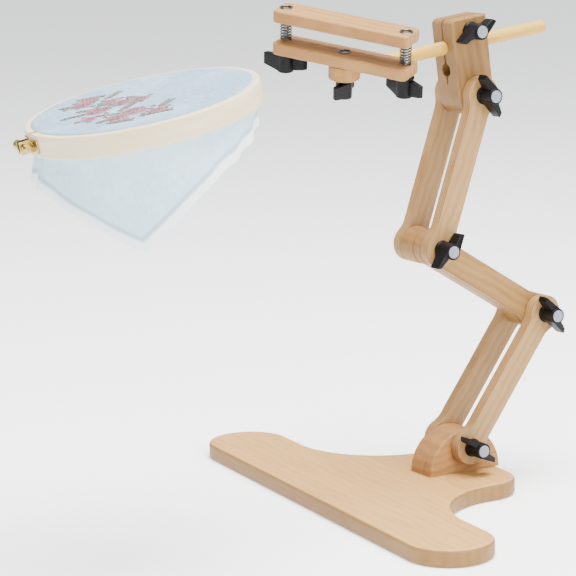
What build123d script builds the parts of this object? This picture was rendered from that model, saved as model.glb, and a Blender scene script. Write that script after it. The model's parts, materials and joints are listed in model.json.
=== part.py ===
from build123d import *
from math import atan, cos, degrees, radians, sin
import os

# An embroidery hoop and the jointed beech stand that holds it in a spring-loaded clamp.
# The origin is on the underside of the base plate, midway along its two lobes.
# The base's straight front edge faces -Y. The tower is everything above the base plate.

# Base plate: a lobe each side of a stem, with a straight front edge
base_half_length = 260
lobe_round = 45  # the lobes' ends, and half of their width
stem_half_width = 78
stem_end = 182  # from the origin back to the stem's end
stem_round = 41
throat_radius = 94
base_thick = 18
base_round = 4

# Fits
run_gap = 0.05  # between a shaft and the bore that it turns or slides in
face_gap = 0.25  # between flat faces that slide on each other
ring_gap = 0.5  # between the hoop's two rings, for the cloth

# Tower stack, across the pivots: two slats outside, laminated beech between them
tower_place = 138  # from the origin back to the bolt that the tower turns on
tower_turn = 4.7  # degrees, the tower is turned this much on its base
core_thick = 24
cheek_thick = 12.4
slat_thick = 12
block_radius = 45
block_side_round = 2
pivot_height = 47

# Arms
arm_length = 164
middle_length = 158
slat_width = 26
middle_width = 28
end_radius = 19
waist_radius = 26
slat_round = 1.2
middle_round = 2
lower_lean = 35.9  # degrees from upright, positive leans back
middle_lean = -58.9
upper_lean = 18.7
head_lean = -7.5

# Pivot bolts and their domed heads, and the washers under them
bolt_radius = 4
dome_radius = 9
dome_height = 3.8
dome_round = 0.84  # of a bolt head's height
washer_radius = 11
washer_thick = 1.2
bolt_reach = 15  # into a knob
base_bolt_reach = 17  # into the block
base_head_radius = 6.8
base_head_height = 4.5
base_head_sunk = 1
end_gap = 0.5  # past the end of a bolt in its blind hole

# Head block
head_front = 22
head_top = 80
head_front_round = 6
head_back_round = 16
rod_height = 51  # above the head's pivot
spare_height = 28
head_bolt_height = 66
kerf = 2.4
kerf_bottom = 13
small_bolt_radius = 3
small_dome_radius = 6
small_dome_height = 2.6

# Rod
rod_radius = 7
rod_rear = 108  # behind the head's pivot
rod_rear_round = 5
rod_reach = 145.3  # from the head's pivot forward to the swivel
tenon_radius = 4
tenon_wall = 5  # wood left between the tenon and the swivel bolt
disc_round = 1

# Clamp
clamp_roll = 14.6  # degrees about the rod
clamp_swivel = 28.4  # degrees about the swivel bolt
disc_radius = 16
disc_past_rod = 0.3  # the disc is this much thicker than the rod on each side
jaw_length = 150
jaw_width = 32
jaw_thick = 12.5
jaw_mouth = 21.5  # between the jaws at rest
jaw_corner = 5
jaw_round = 2
jaw_bolt_place = 67  # each side of the middle
eyelet_radius = 5.6
eyelet_depth = 3
bolt_head_radius = 5
bolt_head_height = 2.2
jaw_bolt_reach = 9  # into a knob
spring_radius = 5.4
spring_wire = 0.55
spring_turns = 6
spring_gap = 0.1  # at each end

# Wing knobs
hub_radius = 8.4
flange_radius = 9.4
flange_height = 2.5
knob_height = 21
bore_depth = 17.5
cap_radius = 6.3
cap_depth = 0.9
cap_rise = 0.5
wing_span = 22.5
wing_thick = 4.4
wing_low = 3.5
wing_cut = 2  # a wing is this much shorter at its outer end
wing_corner = 2.5

# Hoop
hoop_radius = 110
hoop_height = 21
ring_wall = 6.6
ring_round = 1.6
cloth_thick = 0.7
split_width = 7
hoop_centre = (109.4, -262.4, 441.3)  # middle of the hoop's top
hoop_normal = (0.017, -0.222, 0.975)
tension_side = -95  # degrees, the way from the centre to the split in the outer ring
cloth_side = 305  # the square cloth's side
cloth_corner = -36  # degrees, the way that one corner hangs
drape_thick = 3  # of the hanging cloth with its folds

# Tensioner
plate_long = 15
plate_high = 12
plate_thick = 1.2
lug_out = 12
screw_radius = 2
screw_out = 8  # from the ring's outside to the screw
screw_past = 8  # its end beyond the lug
thumb_radius = 4.8
thumb_long = 13
thumb_round = 0.8
nut_radius = 3.6
nut_thick = 3.2
rivet_radius = 1.6
rivet_height = 1
rivet_places = (0.45, 0.8)  # shares of the bracket's length

base_recess = base_head_sunk + base_head_height + washer_thick + face_gap
half_stack = (core_thick + cheek_thick) / 2
disc_height = 2 * (rod_radius + disc_past_rod)
throat_room = min(base_half_length - lobe_round - stem_half_width, stem_end - stem_round - lobe_round)
throat = min(throat_radius, 0.98 * throat_room)  # the curve ends before the lobe and the stem do
inner_face = half_stack + face_gap
outer_face = inner_face + slat_thick
bore_radius = bolt_radius + run_gap
small_bore = small_bolt_radius + run_gap
rod_bore = rod_radius + run_gap

os.makedirs("parts", exist_ok=True)


def finish(piece, name):
    piece.part.label = name
    export_step(piece.part, f"parts/{name}.step")


def toward(x, y, z):
    """A direction given across, along and up the tower."""
    c, s = cos(radians(tower_turn)), sin(radians(tower_turn))
    return Vector(x * c - y * s, x * s + y * c, z)


def side_plane(x, place, lean):
    """A plane across a pivot: Z is the pivot's axis, X runs up the leaning piece and Y to the front."""
    up = toward(0, sin(radians(lean)), cos(radians(lean)))
    return Plane(origin=tower_foot.origin + toward(x, *place), x_dir=up, z_dir=toward(1, 0, 0))


def along(place, length, lean):
    return (place[0] + length * sin(radians(lean)), place[1] + length * cos(radians(lean)))


def turned(plane, angle):
    """The same plane, turned about its own Z."""
    x_dir = plane.x_dir.rotate(Axis((0, 0, 0), plane.z_dir), angle)
    return Plane(plane.origin, x_dir=x_dir, z_dir=plane.z_dir)


def last_face(piece, plane, end):
    """The face across a plane's axis that lies at one end: 0 is behind, -1 is in front."""
    return piece.faces().filter_by(plane).sort_by(Axis(plane.origin, plane.z_dir))[end]


def soften(piece, plane, radius):
    """Rounds the outer edges of the two faces that lie across a plane's axis."""
    ends = [last_face(piece, plane, end) for end in (0, -1)]
    fillet([edge for face in ends for edge in face.outer_wire().edges()], radius)


def widest(piece):
    """The circular edges with the largest radius."""
    return piece.edges().filter_by(GeomType.CIRCLE).group_by(SortBy.RADIUS)[-1]


tower_foot = Plane((0, tower_place, 0))
base_pivot = (0, pivot_height)
lower_elbow = along(base_pivot, arm_length, lower_lean)
upper_elbow = along(lower_elbow, middle_length, middle_lean)
head_pivot = along(upper_elbow, arm_length, upper_lean)


# Base plate
with BuildPart() as base_plate:
    with BuildSketch():
        SlotOverall(base_half_length * 2, lobe_round * 2)
        with Locations((0, (stem_end - lobe_round) / 2)):
            Rectangle(stem_half_width * 2, stem_end + lobe_round)
        throats = vertices().group_by(Axis.Y)[-2].sort_by(Axis.X)[1:-1]
        fillet(throats, throat)
        fillet(vertices().group_by(Axis.Y)[-1], stem_round)
        with Locations((0, tower_place)):
            Circle(bore_radius, mode=Mode.SUBTRACT)
    extrude(amount=base_thick)
    soften(base_plate, Plane.XY, base_round)
    with BuildSketch(tower_foot):
        Circle(washer_radius + end_gap)
    extrude(amount=base_recess, mode=Mode.SUBTRACT)
finish(base_plate, "base_plate")

with BuildPart() as base_washer:
    with BuildSketch(tower_foot.offset(base_head_sunk + base_head_height)):
        Circle(washer_radius)
        Circle(bolt_radius, mode=Mode.SUBTRACT)
    extrude(amount=washer_thick)
finish(base_washer, "base_washer")

with BuildPart() as base_bolt:
    with BuildSketch(tower_foot.offset(base_head_sunk)):
        RegularPolygon(base_head_radius, 6)
    extrude(amount=base_head_height)
    with BuildSketch(tower_foot.offset(base_head_sunk)):
        Circle(bolt_radius)
    extrude(amount=base_thick - base_head_sunk + base_bolt_reach)
finish(base_bolt, "base_bolt")


# The half-round pivot block: a core and a thinner cheek, cut as the middle arm is
def half_round(name, x, thick):
    plane = side_plane(x, (0, base_thick + face_gap), 0)
    with BuildPart() as piece:
        with BuildSketch(plane):
            Circle(block_radius)
            with Locations((-block_radius, 0)):
                Rectangle(block_radius * 2, block_radius * 2, mode=Mode.SUBTRACT)
            with Locations((pivot_height - base_thick - face_gap, 0)):
                Circle(bore_radius, mode=Mode.SUBTRACT)
        extrude(amount=thick)
        fillet(widest(piece), block_side_round)
        with BuildSketch(tower_foot.offset(base_thick)):
            Circle(bolt_radius)
        extrude(amount=base_bolt_reach + end_gap, mode=Mode.SUBTRACT)
    finish(piece, name)


half_round("pivot_block_core", -half_stack, core_thick)
half_round("pivot_block_cheek", -half_stack + core_thick, cheek_thick)


# Arms: each bar is wider at its round ends than between them
def bar(name, x, place, lean, length, width, thick, rounding):
    plane = side_plane(x, place, lean)
    with BuildPart() as piece:
        with BuildSketch(plane):
            with Locations((length / 2, 0)):
                Rectangle(length, width)
            with Locations((0, 0), (length, 0)):
                Circle(end_radius)
            fillet(vertices(), waist_radius)
            with Locations((0, 0), (length, 0)):
                Circle(bore_radius, mode=Mode.SUBTRACT)
        extrude(amount=thick)
        soften(piece, plane, rounding)
    finish(piece, name)


forks = (("lower", base_pivot, lower_lean), ("upper", upper_elbow, upper_lean))
for name, place, lean in forks:
    bar(f"{name}_arm_far_slat", -outer_face, place, lean, arm_length, slat_width, slat_thick, slat_round)
    bar(f"{name}_arm_near_slat", inner_face, place, lean, arm_length, slat_width, slat_thick, slat_round)
middle = (lower_elbow, middle_lean, middle_length, middle_width)
bar("middle_arm_core", -half_stack, *middle, core_thick, middle_round)
bar("middle_arm_cheek", -half_stack + core_thick, *middle, cheek_thick, middle_round)

pivots = {
    "base": (base_pivot, lower_lean),
    "lower_elbow": (lower_elbow, lower_lean),
    "upper_elbow": (upper_elbow, upper_lean),
    "head": (head_pivot, upper_lean),
}
for name, (place, lean) in pivots.items():
    face = side_plane(-outer_face, place, lean)
    with BuildPart() as pivot_washer:
        with BuildSketch(face):
            Circle(washer_radius)
            Circle(bolt_radius, mode=Mode.SUBTRACT)
        extrude(amount=-washer_thick)
    finish(pivot_washer, f"{name}_pivot_washer")
    under_head = side_plane(-outer_face - washer_thick, place, lean)
    with BuildPart() as pivot_bolt:
        with BuildSketch(under_head):
            Circle(dome_radius)
        extrude(amount=-dome_height)
        fillet(last_face(pivot_bolt, under_head, 0).edges(), dome_height * dome_round)
        with BuildSketch(under_head):
            Circle(bolt_radius)
        extrude(amount=washer_thick + outer_face * 2 + bolt_reach)
    finish(pivot_bolt, f"{name}_pivot_bolt")


# Head block, split by a saw kerf so that its bolt closes both rod bores
head_plane = side_plane(-half_stack, head_pivot, head_lean)
head_middle = side_plane(0, head_pivot, head_lean)
head_up = head_middle.x_dir
head_forward = head_middle.y_dir
with BuildPart() as head_block:
    with BuildSketch(head_plane):
        Circle(head_front)
        with Locations((head_top / 2, 0)):
            Rectangle(head_top, head_front * 2)
        corners = vertices().group_by(Axis.X)[-1].sort_by(Axis.Y)
        fillet(corners[-1], head_front_round)
        fillet(corners[0], head_back_round)
        Circle(bore_radius, mode=Mode.SUBTRACT)
        with Locations((head_bolt_height, 0)):
            Circle(small_bore, mode=Mode.SUBTRACT)
    extrude(amount=half_stack * 2)
    soften(head_block, head_plane, middle_round)
    with BuildSketch(Plane(head_middle.origin, x_dir=head_up, z_dir=head_forward)):
        with Locations((rod_height, 0), (spare_height, 0)):
            Circle(rod_bore)
        with Locations((kerf_bottom + head_top / 2, 0)):
            Rectangle(head_top, kerf)
    extrude(amount=head_front * 2, both=True, mode=Mode.SUBTRACT)
finish(head_block, "head_block")

head_bolt_far = Plane(head_plane.origin + head_up * head_bolt_height, x_dir=head_up, z_dir=head_plane.z_dir)
with BuildPart() as head_clamp_bolt:
    with BuildSketch(head_bolt_far):
        Circle(small_dome_radius)
    extrude(amount=-small_dome_height)
    fillet(last_face(head_clamp_bolt, head_bolt_far, 0).edges(), small_dome_height * dome_round)
    with BuildSketch(head_bolt_far):
        Circle(small_bolt_radius)
    extrude(amount=half_stack * 2 + bolt_reach)
finish(head_clamp_bolt, "head_clamp_bolt")


# Rod, with a tenon that the swivel disc rolls on
rod_plane = Plane(head_middle.origin + head_up * rod_height, x_dir=head_up, z_dir=head_forward)
rod_front = rod_reach - disc_radius - face_gap
with BuildPart() as rod:
    with BuildSketch(rod_plane.offset(-rod_rear)):
        Circle(rod_radius)
    extrude(amount=rod_rear + rod_front)
    fillet(rod.edges().sort_by(Axis(rod_plane.origin, rod_plane.z_dir))[0], rod_rear_round)
    with BuildSketch(rod_plane.offset(rod_front)):
        Circle(tenon_radius)
    extrude(amount=disc_radius + face_gap - small_bore - tenon_wall)
finish(rod, "rod")

# The clamp's plane: origin on the rod at the swivel, X along the jaws, Y to the back, Z square to them
across = toward(1, 0, 0)
clamp_up = head_up * cos(radians(clamp_roll)) + across * sin(radians(clamp_roll))
rolled_across = across * cos(radians(clamp_roll)) - head_up * sin(radians(clamp_roll))
jaw_along = rolled_across * cos(radians(clamp_swivel)) - head_forward * sin(radians(clamp_swivel))
clamp = Plane(rod_plane.origin + head_forward * rod_reach, x_dir=jaw_along, z_dir=clamp_up)
disc_top = disc_height / 2
lower_jaw_bottom = disc_top + face_gap
lower_jaw_top = lower_jaw_bottom + jaw_thick
upper_jaw_bottom = lower_jaw_top + jaw_mouth
upper_jaw_top = upper_jaw_bottom + jaw_thick

with BuildPart() as swivel_disc:
    with BuildSketch(clamp.offset(-disc_top)):
        Circle(disc_radius)
        Circle(small_bore, mode=Mode.SUBTRACT)
    extrude(amount=disc_height)
    soften(swivel_disc, clamp, disc_round)
    with BuildSketch(rod_plane.offset(rod_reach)):
        Circle(tenon_radius + run_gap)
    extrude(amount=-disc_radius, mode=Mode.SUBTRACT)
finish(swivel_disc, "swivel_disc")


def jaw(name, bottom, bolt_bore, eyelets):
    with BuildPart() as piece:
        with BuildSketch(clamp.offset(bottom)):
            RectangleRounded(jaw_length, jaw_width, jaw_corner)
            with Locations((-jaw_bolt_place, 0), (jaw_bolt_place, 0)):
                Circle(bolt_bore, mode=Mode.SUBTRACT)
        extrude(amount=jaw_thick)
        soften(piece, clamp, jaw_round)
        with BuildSketch(clamp.offset(bottom + jaw_thick)):
            with Locations(*eyelets):
                Circle(eyelet_radius)
        extrude(amount=-eyelet_depth, mode=Mode.SUBTRACT)
        if len(eyelets) == 1:
            with BuildSketch(clamp.offset(bottom)):
                Circle(small_bolt_radius)
            extrude(amount=jaw_thick, mode=Mode.SUBTRACT)
    finish(piece, name)


jaw("lower_jaw", lower_jaw_bottom, small_bore, [(0, 0)])
jaw("upper_jaw", upper_jaw_bottom, small_bolt_radius, [(-jaw_bolt_place, 0), (jaw_bolt_place, 0)])


def clamp_bolt(name, place, seat, shank):
    """A bolt whose head sits in an eyelet, with its shank running down."""
    with BuildPart() as piece:
        with BuildSketch(clamp.offset(seat)):
            with Locations(place):
                Circle(bolt_head_radius)
        extrude(amount=bolt_head_height)
        fillet(last_face(piece, clamp, -1).edges(), bolt_head_height * dome_round)
        with BuildSketch(clamp.offset(seat)):
            with Locations(place):
                Circle(small_bolt_radius)
        extrude(amount=-shank)
    finish(piece, name)


jaw_shank = upper_jaw_top - eyelet_depth - lower_jaw_bottom + jaw_bolt_reach
swivel_shank = jaw_thick - eyelet_depth + face_gap + disc_height + jaw_bolt_reach
clamp_bolt("jaw_bolt_left", (-jaw_bolt_place, 0), upper_jaw_top - eyelet_depth, jaw_shank)
clamp_bolt("jaw_bolt_right", (jaw_bolt_place, 0), upper_jaw_top - eyelet_depth, jaw_shank)
clamp_bolt("swivel_bolt", (0, 0), lower_jaw_top - eyelet_depth, swivel_shank)

spring_height = jaw_mouth - 2 * (spring_wire + spring_gap)
for side, place in (("left", -jaw_bolt_place), ("right", jaw_bolt_place)):
    foot = clamp.offset(lower_jaw_top + spring_wire + spring_gap)
    foot = Plane(foot.origin + clamp.x_dir * place, x_dir=clamp.x_dir, z_dir=clamp.z_dir)
    with BuildPart() as jaw_spring:
        with BuildLine() as coil:
            pitch = spring_height / spring_turns
            Helix(pitch, spring_height, spring_radius, center=foot.origin, direction=foot.z_dir)
        with BuildSketch(Plane(coil.line @ 0, z_dir=coil.line % 0)):
            Circle(spring_wire)
        sweep(path=coil.line, is_frenet=True)
    finish(jaw_spring, f"jaw_spring_{side}")


# Wing knobs: a flanged hub and two wings that leave it on opposite sides
def wing_knob(name, seat, angle, thread_radius):
    seat = turned(seat, angle)
    with BuildPart() as knob:
        with BuildSketch(seat):
            Circle(hub_radius)
        extrude(amount=knob_height)
        with BuildSketch(seat):
            Circle(flange_radius)
        extrude(amount=flange_height, taper=12)
        for side in (1, -1):
            wing = Plane(seat.origin, x_dir=seat.x_dir * side, z_dir=seat.y_dir * -side)
            with BuildSketch(wing.offset(hub_radius - wing_thick)):
                with BuildLine():
                    outer = ((wing_span, wing_low), (wing_span - wing_cut, knob_height))
                    Polyline((0, wing_low), *outer, (0, knob_height), close=True)
                make_face()
                fillet(vertices().group_by(Axis.X)[-1] + vertices().group_by(Axis.X)[-2], wing_corner)
            extrude(amount=wing_thick)
        with BuildSketch(seat.offset(knob_height - cap_depth)):
            Circle(cap_radius + face_gap)
        extrude(amount=cap_depth, mode=Mode.SUBTRACT)
        with BuildSketch(seat):
            Circle(thread_radius + run_gap)
        extrude(amount=bore_depth, mode=Mode.SUBTRACT)
    finish(knob, name)
    with BuildPart() as cap:
        with BuildSketch(seat.offset(knob_height - cap_depth)):
            Circle(cap_radius)
        extrude(amount=cap_depth + cap_rise)
        fillet(last_face(cap, seat, -1).edges(), cap_rise * dome_round)
    finish(cap, f"{name}_cap")


near = outer_face + face_gap
wing_knob("base_knob", side_plane(near, base_pivot, 0), 66, bolt_radius)
wing_knob("lower_elbow_knob", side_plane(near, lower_elbow, 0), 46, bolt_radius)
wing_knob("upper_elbow_knob", side_plane(near, upper_elbow, 0), -30, bolt_radius)
wing_knob("head_knob", side_plane(near, head_pivot, 0), 38, bolt_radius)
head_bolt_near = side_plane(half_stack + face_gap, along(head_pivot, head_bolt_height, head_lean), 0)
wing_knob("head_clamp_knob", head_bolt_near, -48, small_bolt_radius)


def underside(place, level):
    return Plane(clamp.offset(level).origin + clamp.x_dir * place, x_dir=clamp.x_dir, z_dir=-clamp.z_dir)


wing_knob("jaw_knob_left", underside(-jaw_bolt_place, lower_jaw_bottom - face_gap), 8, small_bolt_radius)
wing_knob("jaw_knob_right", underside(jaw_bolt_place, lower_jaw_bottom - face_gap), 30, small_bolt_radius)
wing_knob("swivel_knob", underside(0, -disc_top - face_gap), 100, small_bolt_radius)


# Hoop: an outer ring split for its tensioner, an inner ring and the cloth between them
hoop_top = Plane(hoop_centre, x_dir=(1, 0, 0), z_dir=hoop_normal)
hoop_bottom = hoop_top.offset(-hoop_height)
outer_bore = hoop_radius - ring_wall
inner_radius = outer_bore - ring_gap
split = turned(hoop_top, tension_side)

with BuildPart() as outer_ring:
    with BuildSketch(hoop_bottom):
        Circle(hoop_radius)
        Circle(outer_bore, mode=Mode.SUBTRACT)
    extrude(amount=hoop_height)
    fillet(widest(outer_ring), ring_round)
    with BuildSketch(split.offset(-hoop_height)):
        with Locations((hoop_radius, 0)):
            Rectangle(ring_wall * 4, split_width)
    extrude(amount=hoop_height, mode=Mode.SUBTRACT)
finish(outer_ring, "hoop_outer_ring")

with BuildPart() as inner_ring:
    with BuildSketch(hoop_bottom):
        Circle(inner_radius)
        Circle(inner_radius - ring_wall, mode=Mode.SUBTRACT)
    extrude(amount=hoop_height - cloth_thick)
    low_rims = inner_ring.edges().group_by(Axis(hoop_bottom.origin, hoop_bottom.z_dir))[0]
    fillet(low_rims.sort_by(SortBy.RADIUS)[0], ring_round)
finish(inner_ring, "hoop_inner_ring")

with BuildPart() as stretched_cloth:
    with BuildSketch(hoop_top.offset(-cloth_thick)):
        Circle(inner_radius)
    extrude(amount=cloth_thick)
finish(stretched_cloth, "stretched_cloth")

# The cloth left outside the hoop hangs as a skirt, long at the cloth's four corners and short between them
corner_reach = cos(radians(45))
corner_drop = cloth_side * corner_reach - inner_radius - hoop_height
side_drop = cloth_side / 2 - inner_radius - hoop_height
drop_slope = (corner_drop - side_drop) / (inner_radius * (1 - corner_reach))
skirt_plane = turned(hoop_bottom.offset(-face_gap), cloth_corner - 45)
skirt_edge = 2 * (inner_radius + side_drop / drop_slope)
with BuildPart() as hanging_cloth:
    with BuildSketch(skirt_plane):
        Circle(inner_radius)
        Circle(inner_radius - drape_thick, mode=Mode.SUBTRACT)
    extrude(amount=-corner_drop)
    with BuildSketch(skirt_plane):
        Rectangle(skirt_edge, skirt_edge)
    extrude(amount=-corner_drop, taper=degrees(atan(1 / drop_slope)), mode=Mode.INTERSECT)
finish(hanging_cloth, "hanging_cloth")


# Brass tensioner: a riveted bracket each side of the split, drawn together by a thumbscrew
def at_split(out, along_ring, up):
    """A plane beside the split: X outward, Y along the ring, Z up through the hoop."""
    origin = split.origin + split.x_dir * out + split.y_dir * along_ring + split.z_dir * up
    return Plane(origin, x_dir=split.x_dir, z_dir=split.z_dir)


half_split = split_width / 2
lug_middle = -hoop_height / 2
for name, side in (("near", 1), ("far", -1)):
    with BuildPart() as bracket:
        with BuildSketch(at_split(0, 0, lug_middle - plate_high / 2)):
            with Locations((hoop_radius + lug_out / 2, side * (half_split + plate_thick / 2))):
                Rectangle(lug_out, plate_thick)
            start, swept = degrees(side * half_split / hoop_radius), degrees(side * plate_long / hoop_radius)
            with BuildLine():
                CenterArc((0, 0), hoop_radius + face_gap + plate_thick / 2, start, swept)
                offset(amount=plate_thick / 2, side=Side.BOTH)
            make_face()
        extrude(amount=plate_high)
        tangent = Plane(at_split(0, 0, lug_middle).origin, x_dir=split.x_dir, z_dir=split.y_dir)
        with BuildSketch(tangent):
            with Locations((hoop_radius + screw_out, 0)):
                Circle(screw_radius + run_gap)
        extrude(amount=side * hoop_radius / 2, mode=Mode.SUBTRACT)
    finish(bracket, f"tension_bracket_{name}")

    with BuildPart() as rivets:
        for share in rivet_places:
            angle = degrees(side * (half_split + plate_long * share) / hoop_radius)
            out = turned(split.offset(lug_middle), angle)
            seat = out.origin + out.x_dir * (hoop_radius + face_gap + plate_thick)
            with BuildSketch(Plane(seat, x_dir=out.z_dir, z_dir=out.x_dir)):
                Circle(rivet_radius)
            extrude(amount=rivet_height)
    finish(rivets, f"tension_rivets_{name}")

screw_line = at_split(hoop_radius + screw_out, 0, lug_middle)
screw_line = Plane(screw_line.origin, x_dir=split.z_dir, z_dir=-split.y_dir)
lug_outside = half_split + plate_thick
with BuildPart() as tension_screw:
    with BuildSketch(screw_line.offset(-lug_outside - screw_past)):
        Circle(screw_radius)
    extrude(amount=2 * lug_outside + screw_past + thumb_long / 2)
    with BuildSketch(screw_line.offset(lug_outside + face_gap)):
        Circle(thumb_radius)
    extrude(amount=thumb_long)
    fillet(widest(tension_screw), thumb_round)
finish(tension_screw, "tension_screw")

with BuildPart() as tension_nut:
    with BuildSketch(screw_line.offset(-lug_outside - face_gap)):
        RegularPolygon(nut_radius, 6)
        Circle(screw_radius + run_gap, mode=Mode.SUBTRACT)
    extrude(amount=-nut_thick)
finish(tension_nut, "tension_nut")
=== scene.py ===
import json
import math
import random

import bmesh
import bpy
from mathutils import Matrix, Vector


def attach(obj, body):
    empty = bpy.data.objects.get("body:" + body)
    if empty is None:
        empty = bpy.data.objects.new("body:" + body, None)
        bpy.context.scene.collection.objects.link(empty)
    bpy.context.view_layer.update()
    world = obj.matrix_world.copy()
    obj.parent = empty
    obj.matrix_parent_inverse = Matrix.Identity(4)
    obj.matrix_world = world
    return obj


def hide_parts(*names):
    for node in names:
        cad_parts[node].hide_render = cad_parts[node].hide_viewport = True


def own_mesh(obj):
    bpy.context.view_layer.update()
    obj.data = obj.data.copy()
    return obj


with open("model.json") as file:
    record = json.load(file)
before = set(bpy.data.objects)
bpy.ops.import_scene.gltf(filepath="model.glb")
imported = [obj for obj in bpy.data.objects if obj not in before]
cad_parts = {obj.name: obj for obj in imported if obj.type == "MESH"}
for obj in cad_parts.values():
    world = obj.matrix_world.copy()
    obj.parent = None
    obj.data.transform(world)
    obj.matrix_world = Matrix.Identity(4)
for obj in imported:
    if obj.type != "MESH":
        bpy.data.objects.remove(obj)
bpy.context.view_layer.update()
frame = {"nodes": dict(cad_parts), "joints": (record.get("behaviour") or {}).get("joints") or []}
joints = {joint["name"]: joint for joint in frame["joints"]}
print("frame loaded")

camera = {
    "place": (2.04848, -1.10366, 0.65572), "aim": (0.016755, -0.067552, 0.234707), "roll": -0.66,
    "lens": 144.8, "sensor": 36, "far": 100,
}
studio = {
    "floorHalf": 30.0, "floorHex": "#FAFAF9", "floorRough": 0.85, "glow": 0.55,
    "skyHex": "#F4F7FA", "sky": 1.0,
}
lamps = (  # name, place, aim, size, watts, colour
    ("topLamp", (0.5, 0.1, 3.0), (0.0, -0.1, 0.2), 2.4, 400, "#FFFFFF"),
    ("sideLamp", (3.2, 0.6, 1.5), (0.0, -0.1, 0.25), 1.6, 92, "#FFFBF5"),
    ("frontLamp", (1.6, -3.4, 1.2), (0.05, -0.25, 0.35), 1.6, 24, "#F6FAFF"),
)


def toLinear(hexColour):
    channels = [int(hexColour[i : i + 2], 16) / 255 for i in (1, 3, 5)]
    return tuple(c / 12.92 if c <= 0.04045 else ((c + 0.055) / 1.055) ** 2.4 for c in channels) + (1.0,)


def aimed(place, aim, roll=0.0):
    turn = (Vector(aim) - Vector(place)).to_track_quat("-Z", "Y").to_matrix().to_4x4()
    return Matrix.Translation(place) @ turn @ Matrix.Rotation(math.radians(roll), 4, "Z")


def addNode(material, kind, settings=None, links=None):
    # settings: attribute or input name to value; links: input name or number to (node, output)
    node = material.node_tree.nodes.new(kind)
    for key, value in (settings or {}).items():
        if isinstance(key, str) and hasattr(node, key):
            setattr(node, key, value)
        else:
            node.inputs[key].default_value = value
    for key, (source, output) in (links or {}).items():
        material.node_tree.links.new(source.outputs[output], node.inputs[key])
    return node


def newMaterial(name, values, common=None):
    # values and common: the shader's own inputs that stay the same all over the surface
    material = bpy.data.materials.new(name)
    material.use_nodes = True
    shader = material.node_tree.nodes["Principled BSDF"]
    for key, value in {**(common or {}), **values}.items():
        shader.inputs[key].default_value = value
    return material


def wire(material, colour, gloss, bump):
    # joins the finished colour, roughness and bump to the shader; each is (node, output) or None
    shader = material.node_tree.nodes["Principled BSDF"]
    for key, end in (("Base Color", colour), ("Roughness", gloss), ("Normal", bump)):
        if end:
            material.node_tree.links.new(end[0].outputs[end[1]], shader.inputs[key])


def ramp(material, source, output, stops):
    node = addNode(material, "ShaderNodeValToRGB", links={"Fac": (source, output)})
    elements = node.color_ramp.elements
    while len(elements) < len(stops):
        elements.new(0.5)
    for element, (place, colour) in zip(elements, stops):
        element.position = place
        element.color = toLinear(colour) if isinstance(colour, str) else (colour, colour, colour, 1.0)
    return node


def addPiece(name, mesh, material, body=None, smooth=True):
    if isinstance(mesh, bmesh.types.BMesh):
        data = bpy.data.meshes.new(name)
        mesh.to_mesh(data)
        mesh.free()
        mesh = data
    for one in material if isinstance(material, (list, tuple)) else [material]:
        mesh.materials.append(one)
    if smooth:
        mesh.shade_smooth()
    piece = bpy.data.objects.new(name, mesh)
    bpy.context.scene.collection.objects.link(piece)
    if body:
        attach(piece, body)
    return piece


cameraData = bpy.data.cameras.new("camera")
cameraData.lens = camera["lens"]
cameraData.sensor_width = camera["sensor"]
cameraData.clip_end = camera["far"]
cameraObject = bpy.data.objects.new("camera", cameraData)
cameraObject.matrix_world = aimed(camera["place"], camera["aim"], camera["roll"])
bpy.context.scene.collection.objects.link(cameraObject)
bpy.context.scene.camera = cameraObject

for name, place, aim, size, watts, colour in lamps:
    lampData = bpy.data.lights.new(name, "AREA")
    lampData.shape = "DISK"
    lampData.size = size
    lampData.energy = watts
    lampData.color = toLinear(colour)[:3]
    lamp = bpy.data.objects.new(name, lampData)
    lamp.matrix_world = aimed(place, aim)
    bpy.context.scene.collection.objects.link(lamp)

world = bpy.data.worlds.new("studio")
world.use_nodes = True
world.node_tree.nodes["Background"].inputs["Color"].default_value = toLinear(studio["skyHex"])
world.node_tree.nodes["Background"].inputs["Strength"].default_value = studio["sky"]
bpy.context.scene.world = world

# a lit sheet of studio paper: matt and near white, with a faint glow that keeps its far end pale
floorMaterial = newMaterial("paleStudioPaper", {
    "Base Color": toLinear(studio["floorHex"]), "Roughness": studio["floorRough"],
    "Emission Color": toLinear(studio["floorHex"]), "Emission Strength": studio["glow"],
})
floorMesh = bmesh.new()
bmesh.ops.create_grid(floorMesh, x_segments=1, y_segments=1, size=studio["floorHalf"])
addPiece("floor", floorMesh, floorMaterial, smooth=False)
print("camera, floor and lamps placed")


def placeOf(joint):
    return Vector(joints[joint]["pos_m"])


def axisOf(joint):
    return Vector(joints[joint]["axis"]).normalized()


# directions of the stand's parts at rest, read from its joints
pivotAxis = axisOf("base_pivot")
lowerRun = (placeOf("lower_elbow") - placeOf("base_pivot")).normalized()
middleRun = (placeOf("upper_elbow") - placeOf("lower_elbow")).normalized()
upperRun = (placeOf("head_pivot") - placeOf("upper_elbow")).normalized()
rodRun = axisOf("rod_slide")
headRun = rodRun.cross(pivotAxis).normalized()
clampUp = axisOf("clamp_swivel")
jawRun = (placeOf("jaw_knob_right_turn") - placeOf("jaw_knob_left_turn")).normalized()
hoopUp = -axisOf("outer_ring_lift")
straightUp = Vector((0, 0, 1))
sideways = Vector((1, 0, 0))
mergeWithin = 1e-6


def turnTo(grain, thickness):
    # the turn that brings the grain to X and the thickness to Z, for a Mapping node
    third = thickness.cross(grain).normalized()
    return Matrix((grain, third, grain.cross(third))).to_euler()


def standing(place, up, toX):
    side = up.cross(toX).normalized()
    return Matrix.Translation(place) @ Matrix((side.cross(up), side, up)).transposed().to_4x4()


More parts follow.
